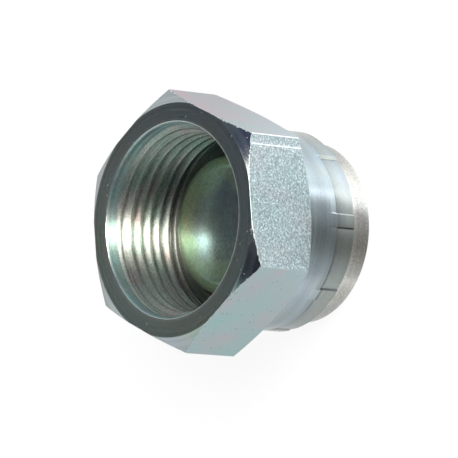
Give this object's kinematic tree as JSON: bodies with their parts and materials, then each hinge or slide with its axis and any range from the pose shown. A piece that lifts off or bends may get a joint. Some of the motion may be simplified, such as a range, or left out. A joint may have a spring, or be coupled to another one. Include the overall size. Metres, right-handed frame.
{
  "type": "threaded protection cap",
  "caption": "Hexagon swivel nut with an internal thread, crimped onto a closed cone-nosed plug; it screws over a male pipe or hose fitting and seals it off.",
  "frame": {"origin": "middle of the plug's flat rear face, which the cap stands on", "axes": "+Z along the swivel axis, out of the threaded mouth; +X through one corner of the hexagon"},
  "size_m": [0.0416, 0.036, 0.0289],
  "materials": {
    "nut_steel": "zinc plated steel, turned and drawn faces, faint passivation tint",
    "plug_steel": "satin zinc plated steel with a faint yellow-green passivation tint"
  },
  "bodies": {
    "plug": {"nose_plug": "plug_steel"},
    "nut": {"swivel_nut": "nut_steel"}
  },
  "joints": [
    {"name": "nut_swivel", "type": "hinge", "parent": "plug", "child": "nut", "pos_m": [0, 0, 0.0121], "axis": [0, 0, 1], "continuous": true}
  ]
}
